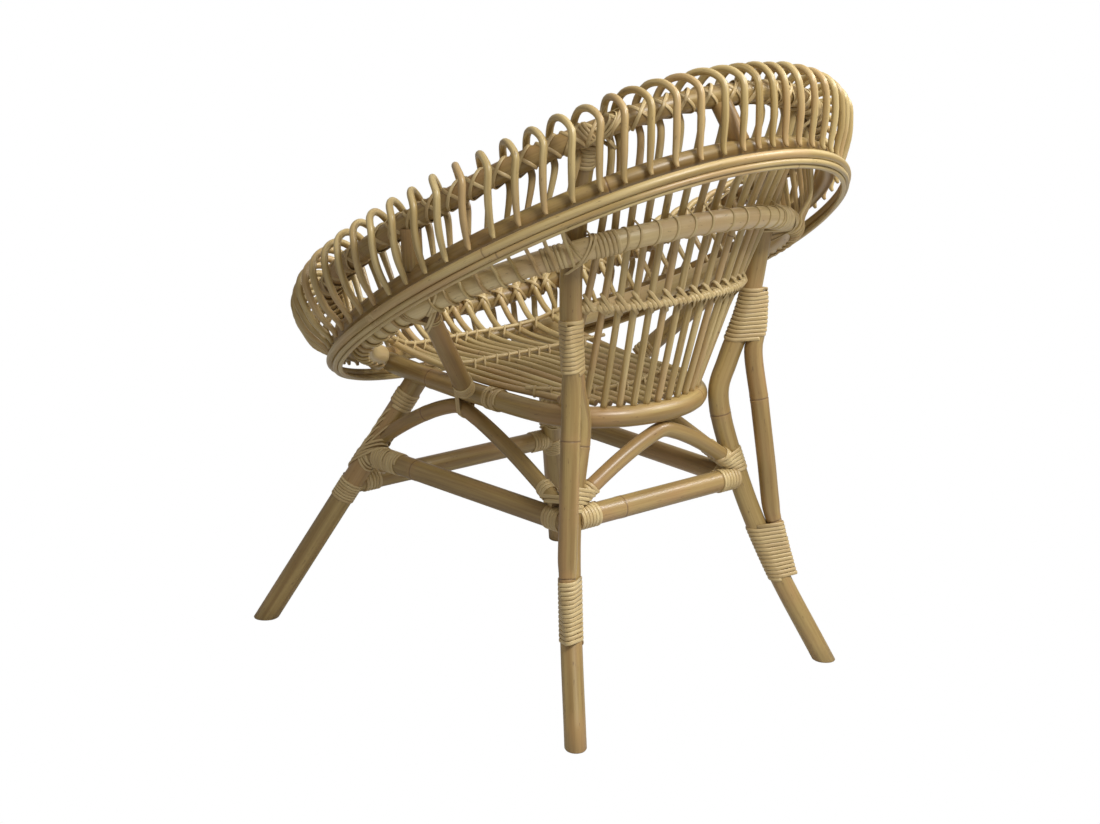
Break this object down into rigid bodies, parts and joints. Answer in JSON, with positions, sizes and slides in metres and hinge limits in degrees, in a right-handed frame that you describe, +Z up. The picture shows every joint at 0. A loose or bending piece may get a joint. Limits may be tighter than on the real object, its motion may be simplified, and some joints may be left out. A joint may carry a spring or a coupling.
{
  "type": "rattan tub chair",
  "caption": "Low round tub chair of bent rattan poles: thin rods loop over tilted hoops and form the seat and back, on splayed legs with arched braces.",
  "frame": {"origin": "on the floor, under the middle of the chair's bounding box", "axes": "+Z up, the sitter faces -Y, +X is the sitter's left"},
  "size_m": [0.727, 0.7074, 0.7992],
  "materials": {
    "rattan_pole": "satin",
    "rattan_rod": "satin",
    "flat_cane": "satin"
  },
  "bodies": {
    "root": {"rear_post_left": "rattan_pole", "rear_post_right": "rattan_pole", "rear_brace_left": "rattan_pole", "rear_brace_right": "rattan_pole", "front_leg_left": "rattan_pole", "front_leg_right": "rattan_pole", "side_stretcher_left": "rattan_pole", "side_stretcher_right": "rattan_pole", "rear_stretcher": "rattan_pole", "front_stretcher": "rattan_pole", "side_arch_left": "rattan_pole", "side_arch_right": "rattan_pole", "rear_arch": "rattan_pole", "seat_pole": "rattan_pole", "mid_rail": "rattan_pole", "arm_strut_left": "rattan_pole", "arm_strut_right": "rattan_pole", "upper_rim_hoop": "rattan_pole", "lower_rim_hoop": "rattan_pole", "rim_spacer_left": "rattan_pole", "rim_spacer_right": "rattan_pole", "rim_spacer_rear": "rattan_pole", "rim_spacer_front": "rattan_pole", "back_rods": "rattan_rod", "seat_rods": "rattan_rod", "side_rods_front_left": "rattan_rod", "side_rods_front_right": "rattan_rod", "side_rods_rear_left": "rattan_rod", "side_rods_rear_right": "rattan_rod", "band_strand_upper": "rattan_rod", "band_strand_middle": "rattan_rod", "band_strand_lower": "rattan_rod", "brace_foot_binding_left": "flat_cane", "brace_foot_binding_right": "flat_cane", "brace_head_binding_left": "flat_cane", "brace_head_binding_right": "flat_cane"}
  },
  "joints": []
}
